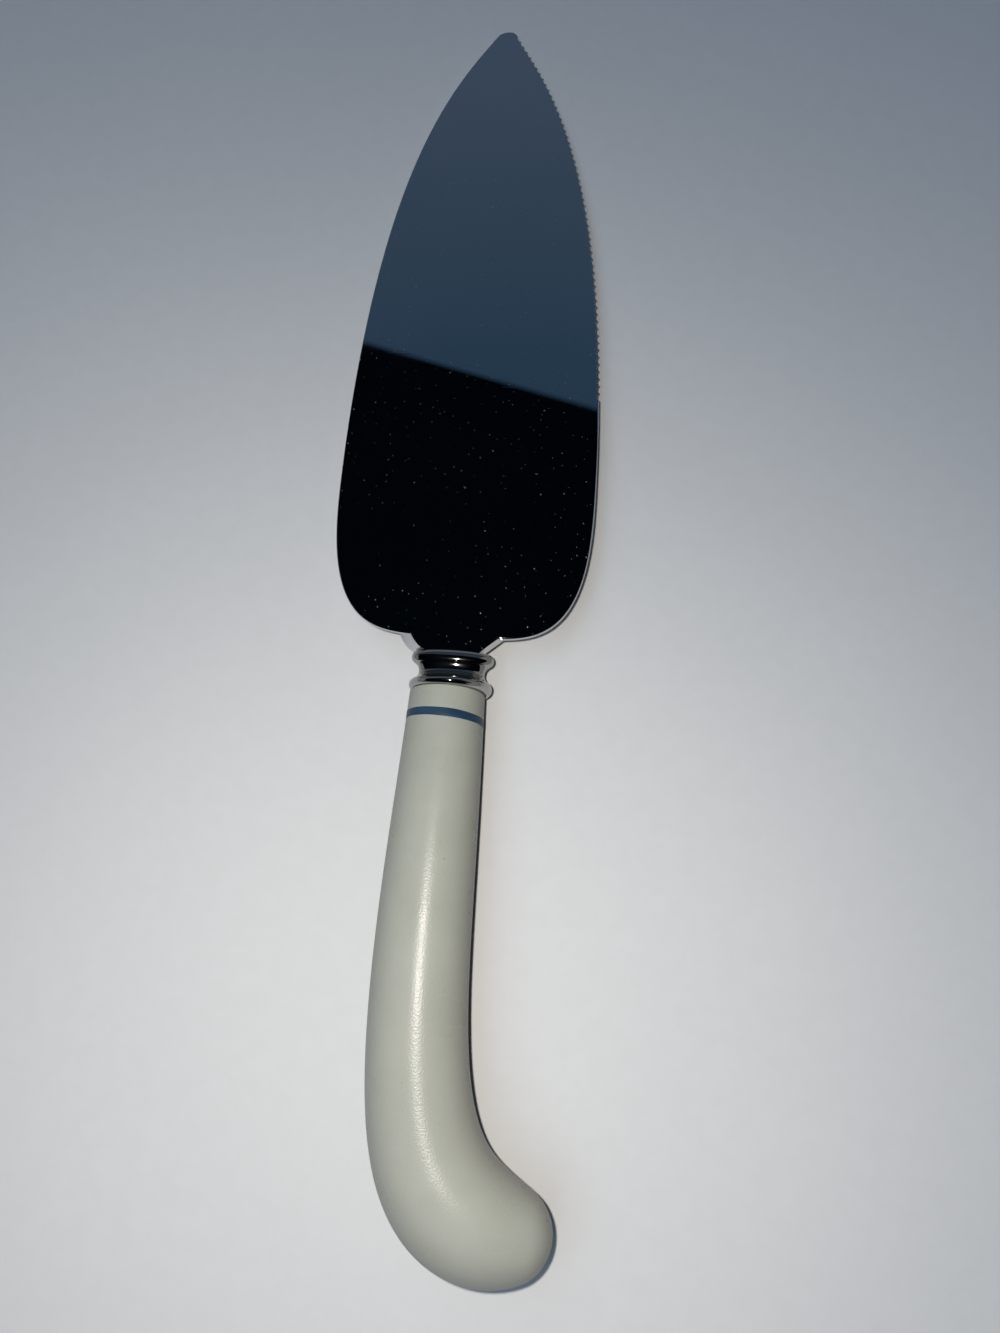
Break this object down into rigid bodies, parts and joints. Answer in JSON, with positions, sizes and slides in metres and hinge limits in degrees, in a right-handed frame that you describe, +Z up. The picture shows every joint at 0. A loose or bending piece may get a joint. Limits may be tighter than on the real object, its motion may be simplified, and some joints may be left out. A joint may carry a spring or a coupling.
{
  "type": "cake server",
  "caption": "Flat pointed cake server: steel blade with one toothed edge, beaded collar and a hooked glazed ceramic handle with a thin blue line.",
  "frame": {"origin": "on the table under the middle of the whole server's length and width, as it lies with its blade's tip and collar down", "axes": "+Y along the server towards the blade's tip, +X to the toothed side, +Z up from the table"},
  "size_m": [0.0522, 0.2618, 0.0228],
  "materials": {
    "blade_steel": "mirror-polished stainless steel",
    "collar_chrome": "polished",
    "handle_glaze": "satin glaze",
    "cement": "rough set cement",
    "blue_glaze": "satin fired line"
  },
  "bodies": {
    "root": {"blade": "blade_steel", "collar": "collar_chrome", "handle": "handle_glaze", "tang_cement": "cement", "blue_line": "blue_glaze"}
  },
  "joints": []
}
